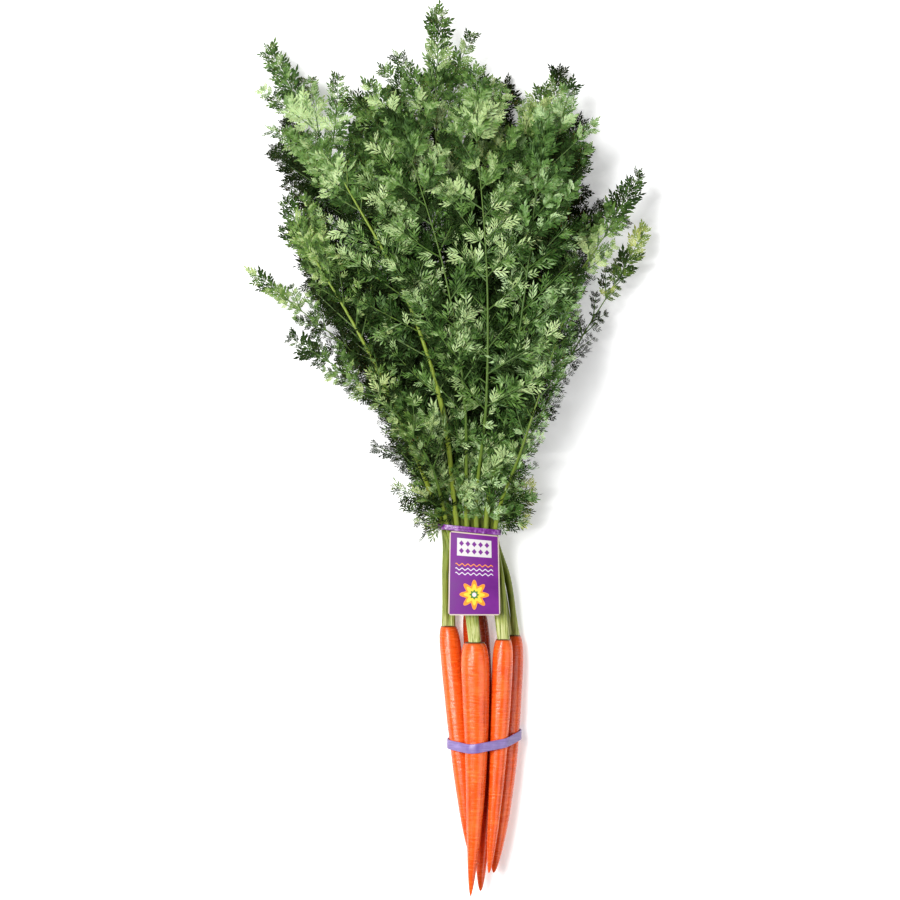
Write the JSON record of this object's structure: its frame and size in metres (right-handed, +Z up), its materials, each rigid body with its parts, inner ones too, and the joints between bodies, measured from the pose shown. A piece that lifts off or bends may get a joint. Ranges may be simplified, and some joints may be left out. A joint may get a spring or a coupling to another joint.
{
  "type": "bunch of carrots",
  "caption": "Bunch of slim orange carrots lying down with long feathery green tops, held by a lavender rubber band and a purple twist tie that carries a purple card tag.",
  "frame": {"origin": "flat spot under the shoulder of the middle lower carrot, on the table the bunch lies on", "axes": "+Z up from the table, +Y from the root tips to the leaf tips, +X to the right with the leaf tips ahead"},
  "size_m": [0.2991, 0.6581, 0.0732],
  "materials": {
    "carrot": "satin",
    "leaf": "matte",
    "band": "satin",
    "tie": "gloss",
    "tag": "satin"
  },
  "bodies": {
    "root": {"root_lower_left": "carrot", "root_lower_middle": "carrot", "root_lower_right": "carrot", "root_upper_left": "carrot", "root_upper_right": "carrot", "frond_1_1": "leaf", "frond_1_2": "leaf", "frond_1_3": "leaf", "frond_1_4": "leaf", "frond_1_5": "leaf", "frond_1_6": "leaf", "frond_2_1": "leaf", "frond_2_2": "leaf", "frond_2_3": "leaf", "frond_2_4": "leaf", "frond_2_5": "leaf", "frond_2_6": "leaf", "frond_3_1": "leaf", "frond_3_2": "leaf", "frond_3_3": "leaf", "frond_3_4": "leaf", "frond_3_5": "leaf", "frond_3_6": "leaf", "frond_4_1": "leaf", "frond_4_2": "leaf", "frond_4_3": "leaf", "frond_4_4": "leaf", "frond_4_5": "leaf", "frond_4_6": "leaf", "rubber_band": "band", "twist_tie": "tie", "card_tag": "tag"}
  },
  "joints": []
}
